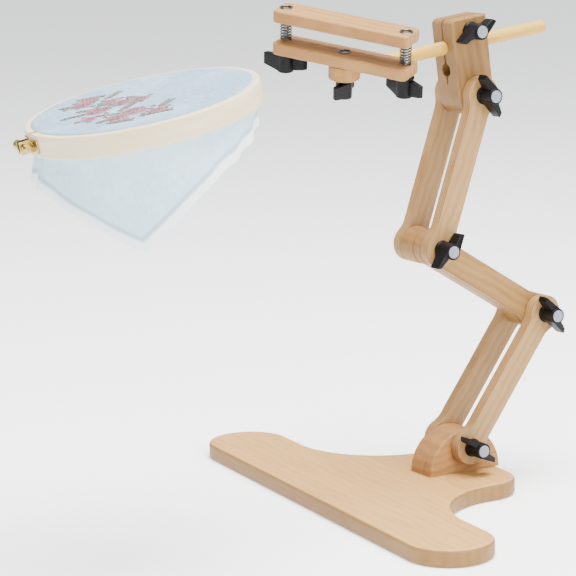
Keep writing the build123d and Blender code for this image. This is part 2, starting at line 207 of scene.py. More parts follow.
fibre = {
    "width": 0.0007, "length": 0.030, "share": 0.3, "fleckWidth": 0.0009, "fleckLength": 0.006,
    # the side colour below is painted shade, multiplied onto a board's sides below its top
    "plySpacing": 0.0031, "plyHex": "#C9A27E", "paintedSideShadeHex": "#B2AC98", "sway": 0.02, "bump": 0.0002,
    "common": {"IOR": 1.5, "Specular IOR Level": 0.35},
}


def woodFibres(material, source):
    # long fine fibres along X of the given vector
    scale = (1 / fibre["length"], 1 / fibre["width"], 1 / fibre["width"])
    stretched = addNode(material, "ShaderNodeMapping", {"Scale": scale}, {"Vector": (source, "Vector")})
    noise = {"Scale": 1.0, "Detail": 4.0, "Roughness": 0.6}
    return addNode(material, "ShaderNodeTexNoise", noise, {"Vector": (stretched, "Vector")})


def beech(name, grain, thickness, hexes, growth=0.011, figure=0.5, plies=0.0, flecks=0.35,
          offset=(0, 0, 0), paintedSideShadeBelow=None):
    # sanded beech under thin oil: a soft low gloss, pale cream to light tan in long streaks
    material = newMaterial(name, fibre["common"])
    pale, mid, dark = hexes
    place = addNode(material, "ShaderNodeTexCoord")
    along = addNode(material, "ShaderNodeMapping", {"Rotation": turnTo(grain, thickness), "Location": offset},
                    {"Vector": (place, "Object")})
    fibres = woodFibres(material, along)
    # growth streaks, one about every growth metres across the grain, and soft cathedral bands
    spread = (1.6 / (growth * 12), 1 / growth, 1 / growth)
    wide = addNode(material, "ShaderNodeMapping", {"Scale": spread}, {"Vector": (along, "Vector")})
    streaks = addNode(material, "ShaderNodeTexNoise",
                      {"Scale": 1.0, "Detail": 3.0, "Roughness": 0.55, "Distortion": 0.6},
                      {"Vector": (wide, "Vector")})
    bend = addNode(material, "ShaderNodeTexNoise", {"Scale": 5.0, "Detail": 1.0}, {"Vector": (along, "Vector")})
    bent = addNode(material, "ShaderNodeVectorMath", {"operation": "MULTIPLY_ADD", 1: (fibre["sway"],) * 3},
                   {0: (bend, "Color"), 2: (along, "Vector")})
    rings = addNode(material, "ShaderNodeTexWave",
                    {"wave_type": "BANDS", "bands_direction": "Y", "Scale": 0.35 / growth,
                     "Distortion": 3.0, "Detail": 2.0, "Detail Scale": 1.2}, {"Vector": (bent, "Vector")})
    mixed = addNode(material, "ShaderNodeMix", {"data_type": "FLOAT", "Factor": 0.35 * figure + 0.1},
                    {"A": (streaks, "Fac"), "B": (rings, "Fac")})
    withFibres = addNode(material, "ShaderNodeMix", {"data_type": "FLOAT", "Factor": fibre["share"]},
                         {"A": (mixed, "Result"), "B": (fibres, "Fac")})
    colour = ramp(material, withFibres, "Result", ((0.22, pale), (0.5, mid), (0.8, dark)))
    # the ray flecks of beech, drawn a little wide so that they show
    fleckScale = (1 / fibre["fleckLength"], 1 / fibre["fleckWidth"], 1 / fibre["fleckWidth"])
    fleckPlace = addNode(material, "ShaderNodeMapping", {"Scale": fleckScale}, {"Vector": (along, "Vector")})
    fleckCells = addNode(material, "ShaderNodeTexVoronoi", {"Scale": 1.0}, {"Vector": (fleckPlace, "Vector")})
    fleckMask = ramp(material, fleckCells, "Distance", ((0.1, flecks), (0.24, 0.0)))
    result = addNode(material, "ShaderNodeMix", {"data_type": "RGBA", "B": toLinear(dark)},
                     {"Factor": (fleckMask, "Color"), "A": (colour, "Color")})
    tint = {"data_type": "RGBA", "blend_type": "MULTIPLY"}
    if plies:
        # glued veneers show as thin lines where the edge is cut
        parts = addNode(material, "ShaderNodeSeparateXYZ", links={"Vector": (along, "Vector")})
        waves = 2 * math.pi / fibre["plySpacing"]
        phase = addNode(material, "ShaderNodeMath", {"operation": "MULTIPLY", 1: waves}, {0: (parts, "Z")})
        swing = addNode(material, "ShaderNodeMath", {"operation": "SINE"}, {0: (phase, "Value")})
        plyMask = ramp(material, swing, "Value", ((0.35, 0.0), (0.95, plies)))
        result = addNode(material, "ShaderNodeMix", {**tint, "B": toLinear(fibre["plyHex"])},
                         {"Factor": (plyMask, "Color"), "A": (result, "Result")})
    if paintedSideShadeBelow:
        # painted shade: the board's sides below its planed top are tinted darker, standing in for the shade that
        # falls on them
        height = addNode(material, "ShaderNodeSeparateXYZ", links={"Vector": (place, "Object")})
        share = addNode(material, "ShaderNodeMath", {"operation": "DIVIDE", 1: paintedSideShadeBelow}, {0: (height, "Z")})
        paintedSideShadeMask = ramp(material, share, "Value", ((0.93, 1.0), (0.965, 0.0)))
        result = addNode(material, "ShaderNodeMix", {**tint, "B": toLinear(fibre["paintedSideShadeHex"])},
                         {"Factor": (paintedSideShadeMask, "Color"), "A": (result, "Result")})
    gloss = ramp(material, fibres, "Fac", ((0.3, 0.5), (0.75, 0.62)))
    bump = addNode(material, "ShaderNodeBump", {"Strength": 0.12, "Distance": fibre["bump"]},
                   {"Height": (fibres, "Fac")})
    wire(material, (result, "Result"), (gloss, "Color"), (bump, "Normal"))
    return material


def coverNode(node, material):
    piece = frame["nodes"][node]
    piece.data.materials.clear()
    piece.data.materials.append(material)


slatHexes = ("#9B7C50", "#927044", "#805C30")
woods = (  # finish, its grain and thickness, its colours, its figure, the pieces that wear it
    ("oiledBeechBase", sideways, straightUp, ("#BD945C", "#B68A50", "#A7763F"),
     # the base plate's sides carry painted shade below its 18 mm top
     {"growth": 0.012, "figure": 0.3, "flecks": 0.25, "paintedSideShadeBelow": 0.018}, ("base_plate",)),
    ("laminatedBeechBlock", headRun.cross(pivotAxis), pivotAxis, ("#A07843", "#966A3A", "#82582C"),
     {"growth": 0.009, "figure": 0.6, "plies": 0.3, "offset": (0.1, 0.3, 0)},
     ("pivot_block_core", "pivot_block_cheek")),
    ("oiledBeechLowerSlats", lowerRun, pivotAxis, slatHexes,
     {"growth": 0.01, "plies": 0.85, "offset": (0.3, 0.1, 0)}, ("lower_arm_far_slat", "lower_arm_near_slat")),
    ("laminatedBeechMiddle", middleRun, pivotAxis, ("#906E3C", "#886432", "#755124"),
     {"growth": 0.009, "plies": 0.6, "offset": (0.7, 0.2, 0)}, ("middle_arm_core", "middle_arm_cheek")),
    ("oiledBeechUpperSlats", upperRun, pivotAxis, slatHexes,
     {"growth": 0.01, "plies": 0.85, "offset": (0.5, 0.4, 0)}, ("upper_arm_far_slat", "upper_arm_near_slat")),
    ("steamedBeechHead", headRun, pivotAxis, ("#836235", "#7A582C", "#67451F"),
     {"growth": 0.012, "figure": 0.6, "offset": (0.2, 0.9, 0)}, ("head_block",)),
    ("steamedBeechJaws", jawRun, clampUp, ("#A17945", "#966B39", "#835527"),
     {"growth": 0.01, "figure": 0.7, "offset": (0.4, 0.6, 0)}, ("lower_jaw", "upper_jaw")),
    ("sandedRaminDowel", rodRun, pivotAxis, ("#BF9C48", "#B79039", "#A57A2A"),
     {"growth": 0.012, "figure": 0.3, "flecks": 0.15}, ("rod",)),
    ("turnedRaminDisc", jawRun, clampUp, ("#A27B40", "#976D34", "#845925"),
     {"growth": 0.009, "figure": 0.5, "offset": (0.9, 0, 0)}, ("swivel_disc",)),
)
for finish, grain, thickness, hexes, figure, nodes in woods:
    wood = beech(finish, grain, thickness, hexes, **figure)
    for node in nodes:
        coverNode(node, wood)
print("beech parts finished")

metal = {"scratch": 0.0008, "bump": 0.0001, "common": {"Metallic": 1.0}}


def platedMetal(name, bright, dull, roughLow, roughHigh):
    # plated and tumbled metal: mirror-like but slightly clouded, with fine wear
    material = newMaterial(name, metal["common"])
    place = addNode(material, "ShaderNodeTexCoord")
    cloud = addNode(material, "ShaderNodeTexNoise", {"Scale": 1 / (metal["scratch"] * 6), "Detail": 3.0},
                    {"Vector": (place, "Object")})
    wear = addNode(material, "ShaderNodeTexNoise",
                   {"Scale": 1 / metal["scratch"], "Detail": 4.0, "Roughness": 0.7}, {"Vector": (place, "Object")})
    colour = ramp(material, cloud, "Fac", ((0.3, bright), (0.7, dull)))
    gloss = ramp(material, wear, "Fac", ((0.3, roughLow), (0.7, roughHigh)))
    bump = addNode(material, "ShaderNodeBump", {"Strength": 0.06, "Distance": metal["bump"]},
                   {"Height": (wear, "Fac")})
    wire(material, (colour, "Color"), (gloss, "Color"), (bump, "Normal"))
    return material


boltSteel = platedMetal("zincPlatedBoltSteel", "#A7A9AA", "#8D8F91", 0.25, 0.4)
springSteel = platedMetal("drawnSpringSteel", "#565350", "#393734", 0.3, 0.45)
eyeletSteel = platedMetal("rolledEyeletNickel", "#706D68", "#4A4743", 0.22, 0.36)
tensionBrass = platedMetal("lacqueredBrass", "#BAA66A", "#A28845", 0.16, 0.3)

for node in frame["nodes"]:
    if node.endswith(("_bolt", "_washer")) or node.startswith("jaw_bolt"):
        coverNode(node, boltSteel)
    elif node.startswith("tension_") and node != "tension_screw":
        coverNode(node, tensionBrass)

# the lower jaw's underside is this far above the rod's axis, and the bolts this far from the middle
jaw = {"bottom": 0.00755, "thick": 0.0125, "mouth": 0.0215, "bolt": 0.067, "closes": 0.008}
eyelet = {"bore": 0.0046, "rim": 0.0071, "rise": 0.0007, "roundSteps": 12, "steps": 48}
spring = {"radius": 0.0054, "wire": 0.00062, "turns": 7, "roundSteps": 10, "stepsPerTurn": 24}
lowerTop = jaw["bottom"] + jaw["thick"]
upperTop = lowerTop + jaw["mouth"] + jaw["thick"]


def clampPlace(along, up):
    # a place in the clamp: along the jaws from the middle, and up from the rod's axis
    return placeOf("clamp_swivel") + jawRun * along + clampUp * up


def rolledEyelet(name, place, body):
    mesh = bmesh.new()
    middle = (eyelet["bore"] + eyelet["rim"]) / 2
    width = (eyelet["rim"] - eyelet["bore"]) / 2
    bmesh.ops.create_circle(mesh, segments=eyelet["roundSteps"], radius=1.0)
    for vert in mesh.verts:
        vert.co = Vector((middle + vert.co.x * width, 0, vert.co.y * eyelet["rise"]))
    bmesh.ops.spin(mesh, geom=mesh.verts[:] + mesh.edges[:], cent=(0, 0, 0), axis=(0, 0, 1),
                   angle=2 * math.pi, steps=eyelet["steps"], use_merge=True)
    bmesh.ops.remove_doubles(mesh, verts=mesh.verts, dist=mergeWithin)
    bmesh.ops.recalc_face_normals(mesh, faces=mesh.faces)
    mesh.transform(standing(place, clampUp, jawRun))
    return addPiece(name, mesh, eyeletSteel, body)


def coilSpring(name, along):
    # a round wire swept up in turns between the jaws, as a fixed shape; it does not shorten as the upper jaw comes
    # down
    mesh = bmesh.new()
    foot = clampPlace(along, lowerTop)
    steps = spring["turns"] * spring["stepsPerTurn"]
    rise = (jaw["mouth"] - 2 * spring["wire"]) / steps
    bmesh.ops.create_circle(mesh, segments=spring["roundSteps"], radius=spring["wire"], cap_ends=True)
    bmesh.ops.rotate(mesh, verts=mesh.verts, cent=(0, 0, 0), matrix=Matrix.Rotation(math.pi / 2, 3, "X"))
    bmesh.ops.translate(mesh, verts=mesh.verts, vec=(spring["radius"], 0, spring["wire"]))
    bmesh.ops.spin(mesh, geom=mesh.faces[:], cent=(0, 0, 0), axis=(0, 0, 1), dvec=(0, 0, rise),
                   angle=2 * math.pi * spring["turns"], steps=steps)
    bmesh.ops.recalc_face_normals(mesh, faces=mesh.faces)
    mesh.transform(standing(foot, clampUp, jawRun))
    piece = addPiece(f"coilSpring_{name}", mesh, springSteel, "clamp")
    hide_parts(f"jaw_spring_{name}")
    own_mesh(piece)


rolledEyelet("eyeletLeft", clampPlace(-jaw["bolt"], upperTop), "top_jaw")
rolledEyelet("eyeletRight", clampPlace(jaw["bolt"], upperTop), "top_jaw")
rolledEyelet("eyeletMiddle", clampPlace(0, lowerTop), "clamp")
coilSpring("left", -jaw["bolt"])
coilSpring("right", jaw["bolt"])
print("metal parts finished")

knob = {
    "hub": 0.0084, "flange": 0.0097, "flangeHigh": 0.0026, "height": 0.021, "edge": 0.0009, "bevelSteps": 3,
    "cap": 0.0064, "capDeep": 0.0008, "span": 0.0228, "slant": 0.0022, "rootThick": 0.0096, "rootThin": 0.0002,
    "rootBelow": 0.0004, "tipThick": 0.0052, "tipShift": 0.0012, "low": 0.0035, "tipHigh": 0.0165,
}
plastic = {"cloudScale": 120.0, "bump": 0.0001, "sheen": {"IOR": 1.53}}
knobs = (  # CAD node, which way its cap faces along its joint's axis, wing angle, where that is measured from
    ("base_knob", 1, 66, "side"), ("lower_elbow_knob", 1, 46, "side"), ("upper_elbow_knob", 1, -30, "side"),
    ("head_knob", 1, 38, "side"), ("head_clamp_knob", 1, -48, "side"),
    ("jaw_knob_left", -1, 8, "under"), ("jaw_knob_right", -1, 30, "under"), ("swivel_knob", -1, 100, "under"),
)


def mouldedPlastic(name, dark, light, rough, grit, specular):
    # spark-eroded mould skin: an even satin sheen with a very fine pebble
    material = newMaterial(name, {"Specular IOR Level": specular}, plastic["sheen"])
    place = addNode(material, "ShaderNodeTexCoord")
    pebble = addNode(material, "ShaderNodeTexNoise", {"Scale": 1 / grit, "Detail": 2.0},
                     {"Vector": (place, "Object")})
    cloud = addNode(material, "ShaderNodeTexNoise", {"Scale": plastic["cloudScale"], "Detail": 2.0},
                    {"Vector": (place, "Object")})
    colour = ramp(material, cloud, "Fac", ((0.3, dark), (0.75, light)))
    gloss = ramp(material, pebble, "Fac", ((0.3, rough), (0.7, rough + 0.12)))
    bump = addNode(material, "ShaderNodeBump", {"Strength": 0.15, "Distance": plastic["bump"]},
                   {"Height": (pebble, "Fac")})
    wire(material, (colour, "Color"), (gloss, "Color"), (bump, "Normal"))
    return material


knobNylon = mouldedPlastic("mouldedBlackNylon", "#020203", "#050506", 0.42, 0.0004, 0.14)
capPlastic = mouldedPlastic("mouldedGreyCap", "#737883", "#7E848F", 0.42, 0.0005, 0.3)


def lathed(mesh, outline, steps=48):
    # outline: radius and height pairs, from the axis out and back to the axis
    verts = [mesh.verts.new((radius, 0, height)) for radius, height in outline]
    edges = [mesh.edges.new(pair) for pair in zip(verts, verts[1:])]
    bmesh.ops.spin(mesh, geom=verts + edges, cent=(0, 0, 0), axis=(0, 0, 1), angle=2 * math.pi, steps=steps,
                   use_merge=True)
    bmesh.ops.remove_doubles(mesh, verts=mesh.verts, dist=mergeWithin)
    bmesh.ops.recalc_face_normals(mesh, faces=mesh.faces)


def addWing(mesh, side):
    # a block from the hub's middle out, thinner and lower at its slanted tip
    made = bmesh.ops.create_cube(mesh, size=1.0)["verts"]
    for vert in made:
        tip, outer = vert.co.x > 0, vert.co.y > 0
        x = (knob["span"] - (knob["slant"] if outer else 0.0)) if tip else 0.0
        thick = knob["tipThick"] if tip else knob["rootThick"]
        y = (thick if outer else knob["rootThin"]) - knob["hub"] + (knob["tipShift"] if tip else 0)
        top = knob["tipHigh"] if tip else knob["height"] - knob["rootBelow"]
        vert.co = Vector((x * side, y * side, top if vert.co.z > 0 else knob["low"]))
    faces = list({face for vert in made for face in vert.link_faces})
    edges = list({edge for vert in made for edge in vert.link_edges})
    bmesh.ops.recalc_face_normals(mesh, faces=faces)
    bmesh.ops.bevel(mesh, geom=edges, offset=knob["edge"], segments=knob["bevelSteps"], profile=0.5,
                    affect="EDGES", material=-1)


def wingKnob(node, facing, angle, firstWay):
    joint = f"{node}_turn"
    out = axisOf(joint) * facing
    first = straightUp if firstWay == "side" else jawRun
    first = (first - out * first.dot(out)).normalized()
    wingWay = Matrix.Rotation(math.radians(angle), 3, out) @ first
    edge, high, hub, flange = knob["edge"], knob["height"], knob["hub"], knob["flange"]
    mesh = bmesh.new()
    lathed(mesh, (
        (0, 0), (flange - edge / 2, 0), (flange, edge / 2), (flange, knob["flangeHigh"] - edge),
        (flange - edge, knob["flangeHigh"]), (hub, knob["flangeHigh"] + edge), (hub, high - edge),
        (hub - edge * 0.3, high - edge * 0.3), (hub - edge, high), (knob["cap"], high),
        (knob["cap"], high - knob["capDeep"]), (0, high - knob["capDeep"]),
    ))
    for side in (1, -1):
        addWing(mesh, side)
    mesh.transform(standing(placeOf(joint), out, wingWay))
    piece = addPiece(f"{node}Moulded", mesh, knobNylon, f"{node}_turns")
    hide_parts(node)
    coverNode(f"{node}_cap", capPlastic)
    weighted = piece.modifiers.new("edges", "WEIGHTED_NORMAL")
    weighted.keep_sharp = True


for node, facing, angle, firstWay in knobs:
    wingKnob(node, facing, angle, firstWay)
print("wing knobs finished")

hoop = {"radius": 0.110, "height": 0.021, "screwOut": 0.008, "streak": (12.0, 160.0, 160.0), "share": 0.35,
        "bump": 0.0002}
screwPlace = placeOf("thumbscrew_turn")
splitWay = axisOf("thumbscrew_turn").cross(hoopUp).normalized()
hoopCentre = screwPlace - splitWay * (hoop["radius"] + hoop["screwOut"]) + hoopUp * hoop["height"] / 2
hoopAcross = (sideways - hoopUp * sideways.dot(hoopUp)).normalized()
hoopFrame = standing(hoopCentre, hoopUp, hoopAcross)


def bentBeech(name, pale, mid, dark):
    # steam-bent beech under clear lacquer: fibres follow the ring, a little brighter gloss
    material = newMaterial(name, {"IOR": 1.5})
    place = addNode(material, "ShaderNodeTexCoord")
    back = hoopFrame.inverted()
    flat = addNode(material, "ShaderNodeMapping",
                   {"Rotation": back.to_euler(), "Location": back.to_translation()}, {"Vector": (place, "Object")})
    angle = addNode(material, "ShaderNodeTexGradient", {"gradient_type": "RADIAL"}, {"Vector": (flat, "Vector")})
    parts = addNode(material, "ShaderNodeSeparateXYZ", links={"Vector": (flat, "Vector")})
    radius = addNode(material, "ShaderNodeVectorMath", {"operation": "LENGTH"}, {0: (flat, "Vector")})
    arc = addNode(material, "ShaderNodeMath", {"operation": "MULTIPLY", 1: 2 * math.pi * hoop["radius"]},
                  {0: (angle, "Fac")})
    unrolled = addNode(material, "ShaderNodeCombineXYZ",
                       links={"X": (arc, "Value"), "Y": (radius, "Value"), "Z": (parts, "Z")})
    fibres = woodFibres(material, unrolled)
    wide = addNode(material, "ShaderNodeMapping", {"Scale": hoop["streak"]}, {"Vector": (unrolled, "Vector")})
    streaks = addNode(material, "ShaderNodeTexNoise", {"Scale": 1.0, "Detail": 3.0}, {"Vector": (wide, "Vector")})
    mixed = addNode(material, "ShaderNodeMix", {"data_type": "FLOAT", "Factor": hoop["share"]},
                    {"A": (streaks, "Fac"), "B": (fibres, "Fac")})
    colour = ramp(material, mixed, "Result", ((0.25, pale), (0.52, mid), (0.8, dark)))
    gloss = ramp(material, fibres, "Fac", ((0.3, 0.36), (0.75, 0.48)))
    bump = addNode(material, "ShaderNodeBump", {"Strength": 0.1, "Distance": hoop["bump"]},
                   {"Height": (fibres, "Fac")})
    wire(material, (colour, "Color"), (gloss, "Color"), (bump, "Normal"))
    return material


ringWood = bentBeech("lacqueredBentBeech", "#D9CCAF", "#D5C3A0", "#C9B084")
for node in ("hoop_outer_ring", "hoop_inner_ring"):
    coverNode(node, ringWood)

# the thumbscrew: a turned brass head with a collar, a waist and a grip, and a long shank
thumb = {
    "shank": 0.0019, "tail": 0.0127, "tailEdge": 0.0004, "grip": 0.0047, "waist": 0.003, "start": 0.0049,
    "long": 0.0128, "collar": 0.0026, "waistFrom": 0.0042, "waistTo": 0.0062, "gripFrom": 0.0078,
    "collarEdge": 0.0006, "gripEdge": 0.0008, "steps": 40,
}
start, end = thumb["start"], thumb["start"] + thumb["long"]
mesh = bmesh.new()
lathed(mesh, (
    (0, -thumb["tail"]), (thumb["shank"] - thumb["tailEdge"], -thumb["tail"]),
    (thumb["shank"], -thumb["tail"] + thumb["tailEdge"]), (thumb["shank"], start),
    (thumb["grip"] - thumb["collarEdge"], start), (thumb["grip"], start + thumb["collarEdge"]),
    (thumb["grip"], start + thumb["collar"]), (thumb["waist"], start + thumb["waistFrom"]),
    (thumb["waist"], start + thumb["waistTo"]), (thumb["grip"], start + thumb["gripFrom"]),
    (thumb["grip"], end - thumb["gripEdge"]), (thumb["grip"] - thumb["gripEdge"], end), (0, end),
), thumb["steps"])
mesh.transform(standing(screwPlace, -axisOf("thumbscrew_turn"), hoopUp))
thumbScrew = addPiece("turnedThumbscrew", mesh, tensionBrass, "thumbscrew")
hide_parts("tension_screw")
print("hoop and tensioner finished")

# the cloth: a cotton square, tight across the hoop and hanging round it
cloth = {
    "side": 0.305, "area": 0.0885, "thick": 0.0005, "wall": 0.10315, "top": 0.00035,
    "round": 180, "topRings": 24, "wallRings": 3, "rings": 40, "frames": 24,
    "flare": 0.06, "corner": -114, "cornerWide": 22, "cornerFlare": 1.25,
    "tips": (  # angle round the hoop in degrees, and how far the cloth hangs there
        (-36, 0.091), (-58, 0.064), (-80, 0.042), (-96, 0.028), (-112, 0.032), (-126, 0.040), (-150, 0.042),
        (-176, 0.058), (-196, 0.078), (-216, 0.090), (-240, 0.060), (-262, 0.036), (-285, 0.026),
        (-306, 0.020), (-330, 0.030), (-352, 0.042), (-372, 0.062), (-396, 0.091),
    ),
}
limpness = {
    "mass": 0.12, "tension_stiffness": 20, "compression_stiffness": 20, "shear_stiffness": 8,
    "bending_stiffness": 30.0, "bending_damping": 1.0, "air_damping": 3.0, "quality": 6,
}
heldRows = cloth["topRings"] + cloth["wallRings"]


def hangAt(angle):
    # how far the cloth hangs below the rings at an angle in degrees round the hoop
    tips = cloth["tips"]
    while angle > tips[0][0]:
        angle -= 360
    while angle < tips[-1][0]:
        angle += 360
    for (a, dropA), (b, dropB) in zip(tips, tips[1:]):
        if b <= angle <= a:
            return dropA + (dropB - dropA) * (a - angle) / (a - b)
    return tips[0][1]


def clothAt(column, row):
    # where a thread crossing lies in the hoop, where it lay on the flat square, and how far from its edge
    angle = column * 360 / cloth["round"]
    way = Vector((math.cos(math.radians(angle)), math.sin(math.radians(angle)), 0))
    wall, high, hang = cloth["wall"], hoop["height"], hangAt(angle)
    if row <= cloth["topRings"]:
        out = wall * row / cloth["topRings"]
        return way * out + Vector((0, 0, cloth["top"])), way * out, hang + wall + high - out
    if row <= heldRows:
        down = high * (row - cloth["topRings"]) / cloth["wallRings"]
        return way * wall + Vector((0, 0, -down)), way * (wall + down), hang + high - down
    run = hang * ((row - heldRows) / cloth["rings"])
    fromCorner = ((angle - cloth["corner"] + 180) % 360 - 180) / cloth["cornerWide"]
    flare = cloth["flare"] + cloth["cornerFlare"] * math.exp(-fromCorner * fromCorner)
    place = way * (wall + run * math.sin(flare)) + Vector((0, 0, -high - run * math.cos(flare)))
    return place, way * (wall + high + run), hang - run


def clothMesh():
    # a grid rolled into rings: each row is one ring, from the middle out, over the rim and down
    mesh = bmesh.new()
    rows = heldRows + cloth["rings"]
    bmesh.ops.create_grid(mesh, x_segments=cloth["round"], y_segments=rows, size=0.5)
    weave = mesh.loops.layers.uv.new("weave")
    hem = mesh.loops.layers.uv.new("hem")
    held = mesh.verts.layers.deform.verify()
    crossing = {
        vert: (round((vert.co.x + 0.5) * cloth["round"]), round((vert.co.y + 0.5) * rows)) for vert in mesh.verts
    }
    shape = {vert: clothAt(*crossing[vert]) for vert in mesh.verts}
    for face in mesh.faces:
        for loop in face.loops:
            place, flat, fromEdge = shape[loop.vert]
            loop[weave].uv = (flat.x, flat.y)
            loop[hem].uv = (crossing[loop.vert][0] / cloth["round"], fromEdge)
    for vert in mesh.verts:
        vert.co = shape[vert][0]
        if crossing[vert][1] <= heldRows:
            vert[held][0] = 1.0
    bmesh.ops.remove_doubles(mesh, verts=mesh.verts, dist=mergeWithin)
    bmesh.ops.recalc_face_normals(mesh, faces=mesh.faces)
    mesh.transform(hoopFrame)
    return mesh


cotton = {
    "thread": 0.0011, "turn": 9, "hexes": ("#68879F", "#809CB1", "#9DB6C7"), "borderHex": "#A5C3D5",
    "hemHex": "#EFF8FD", "seamHex": "#7F9AAC", "bump": 0.0009,
    "common": {"Roughness": 0.9, "Specular IOR Level": 0.2, "Sheen Weight": 0.25, "Sheen Roughness": 0.5},
}


def wovenCotton(name):
    # bleached cotton, plain woven: matt and cool white; its 0.6 mm threads are drawn 1.1 mm so that they show
    material = newMaterial(name, cotton["common"])
    weaveMap = addNode(material, "ShaderNodeUVMap", {"uv_map": "weave"})
    hemMap = addNode(material, "ShaderNodeUVMap", {"uv_map": "hem"})
    perThread = 1 / cotton["thread"]
    spun = addNode(material, "ShaderNodeMapping",
                   {"Rotation": (0, 0, math.radians(cotton["turn"])), "Scale": (perThread, perThread, 1)},
                   {"Vector": (weaveMap, "UV")})
    wave = {"Scale": 0.31, "Distortion": 1.2, "Detail": 1.0, "Detail Scale": 0.4}
    warp = addNode(material, "ShaderNodeTexWave", {**wave, "bands_direction": "X"}, {"Vector": (spun, "Vector")})
    weft = addNode(material, "ShaderNodeTexWave", {**wave, "bands_direction": "Y"}, {"Vector": (spun, "Vector")})
    yarns = addNode(material, "ShaderNodeMath", {"operation": "MAXIMUM"}, {0: (warp, "Fac"), 1: (weft, "Fac")})
    slub = addNode(material, "ShaderNodeTexNoise", {"Scale": 160.0, "Detail": 4.0, "Roughness": 0.65},
                   {"Vector": (weaveMap, "UV")})
    # painted shade: a broad noise darkens the cloth in patches, standing in for the shade between its folds; it is
    # mixed with the yarn's own slub tone
    paintedFoldShade = addNode(material, "ShaderNodeTexNoise", {"Scale": 22.0, "Detail": 3.0, "Distortion": 0.8},
                      {"Vector": (weaveMap, "UV")})
    slubAndFoldShade = addNode(material, "ShaderNodeMix", {"data_type": "FLOAT", "Factor": 0.45},
                   {"A": (slub, "Fac"), "B": (paintedFoldShade, "Fac")})
    colour = ramp(material, slubAndFoldShade, "Result", tuple(zip((0.34, 0.5, 0.66), cotton["hexes"])))
    edge = addNode(material, "ShaderNodeSeparateXYZ", links={"Vector": (hemMap, "UV")})
    # the print's ground stops inside the hoop, and the border beyond it is plain and whiter
    reach = addNode(material, "ShaderNodeVectorMath", {"operation": "LENGTH"}, {0: (weaveMap, "UV")})
    borderMask = ramp(material, reach, "Value", ((0.104, 0.0), (0.118, 1.0)))
    whole = addNode(material, "ShaderNodeMix",
                    {"data_type": "RGBA", "blend_type": "SCREEN", "B": toLinear(cotton["borderHex"])},
                    {"Factor": (borderMask, "Color"), "A": (colour, "Color")})
    # a turned hem is two layers, so it looks whiter, with a stitched line at its inner side
    hemMask = ramp(material, edge, "Y", ((0.0105, 1.0), (0.0115, 0.0)))
    hemTint = addNode(material, "ShaderNodeMix", {"data_type": "RGBA", "B": toLinear(cotton["hemHex"])},
                      {"Factor": (hemMask, "Color"), "A": (whole, "Result")})
    seam = ramp(material, edge, "Y", ((0.0110, 0.0), (0.0119, 0.75), (0.0128, 0.75), (0.0137, 0.0)))
    seamTint = addNode(material, "ShaderNodeMix", {"data_type": "RGBA", "B": toLinear(cotton["seamHex"])},
                       {"Factor": (seam, "Color"), "A": (hemTint, "Result")})
    # white thread flowers stand up in a band above the hem
    petals = addNode(material, "ShaderNodeTexVoronoi", {"Scale": 95.0}, {"Vector": (weaveMap, "UV")})
    petalHeight = ramp(material, petals, "Distance", ((0.2, 1.0), (0.45, 0.0)))
    band = ramp(material, edge, "Y", ((0.024, 0.0), (0.027, 1.0), (0.037, 1.0), (0.040, 0.0)))
    flowers = addNode(material, "ShaderNodeMath", {"operation": "MULTIPLY"},
                      {0: (petalHeight, "Color"), 1: (band, "Color")})
    height = addNode(material, "ShaderNodeMath", {"operation": "MULTIPLY_ADD", 1: 0.25},
                     {0: (yarns, "Value"), 2: (flowers, "Value")})
    withSlub = addNode(material, "ShaderNodeMath", {"operation": "MULTIPLY_ADD", 1: 0.5},
                       {0: (slub, "Fac"), 2: (height, "Value")})
    withHem = addNode(material, "ShaderNodeMath", {"operation": "ADD"},
                      {0: (withSlub, "Value"), 1: (hemMask, "Color")})
    bump = addNode(material, "ShaderNodeBump", {"Strength": 0.8, "Distance": cotton["bump"]},
                   {"Height": (withHem, "Value")})
    wire(material, (seamTint, "Result"), None, (bump, "Normal"))
    return material


cottonCloth = wovenCotton("bleachedWovenCotton")
clothPiece = addPiece("clothSquare", clothMesh(), cottonCloth)
clothPiece.vertex_groups.new(name="held")
# the hanging part settles under its own weight, and the hoop holds the rest
settle = clothPiece.modifiers.new("settle", "CLOTH")
for key, value in limpness.items():
    setattr(settle.settings, key, value)
settle.settings.vertex_group_mass = "held"
settle.point_cache.frame_start = 1
settle.point_cache.frame_end = cloth["frames"]
for number in range(1, cloth["frames"] + 1):
    bpy.context.scene.frame_set(number)
settled = bpy.data.meshes.new_from_object(clothPiece.evaluated_get(bpy.context.evaluated_depsgraph_get()))
clothPiece.modifiers.clear()
clothPiece.data = settled
bpy.context.scene.frame_set(1)
clothPiece.data.shade_smooth()
weight = clothPiece.modifiers.new("thickness", "SOLIDIFY")
weight.thickness = cloth["thick"]
weight.offset = 0.0
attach(clothPiece, "hoop")
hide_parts("stretched_cloth", "hanging_cloth")
print("cloth settled")

# the embroidery: satin stitches in three pinks and two greens
threads = {
    "roseDeep": "#721433", "rose": "#8B304D", "rosePale": "#9A5669", "leafDark": "#24351C", "leafPale": "#4D5533",
}
threadLook = {"twistScale": 900.0, "lightHex": "#D9B9C0", "bump": 0.0002,
              "common": {"Roughness": 0.55, "Sheen Weight": 0.3}}
stitch = {
    "length": 0.0042, "width": 0.0017, "high": 0.0010, "taper": 0.55, "seed": 7, "perMetre": 1900,
    "fewest": 8, "turn": 2.4, "stray": 0.4, "leafReach": 1.35, "leafApart": 0.0012, "leafSpread": 0.25,
    "steps": 7, "lean": 0.8, "leanReach": 0.003,
}
roses = (  # across, back and size in metres, in the hoop's plane from its middle
    (-0.052, -0.0386, 0.012), (-0.010, -0.0402, 0.013), (-0.0655, -0.0255, 0.010),
    (-0.0146, -0.0127, 0.011), (-0.0077, 0.002, 0.009), (0.0338, -0.0235, 0.014),
    (0.0394, -0.0426, 0.012), (0.0584, -0.0103, 0.010), (-0.034, -0.0160, 0.008), (0.012, -0.0590, 0.008),
)
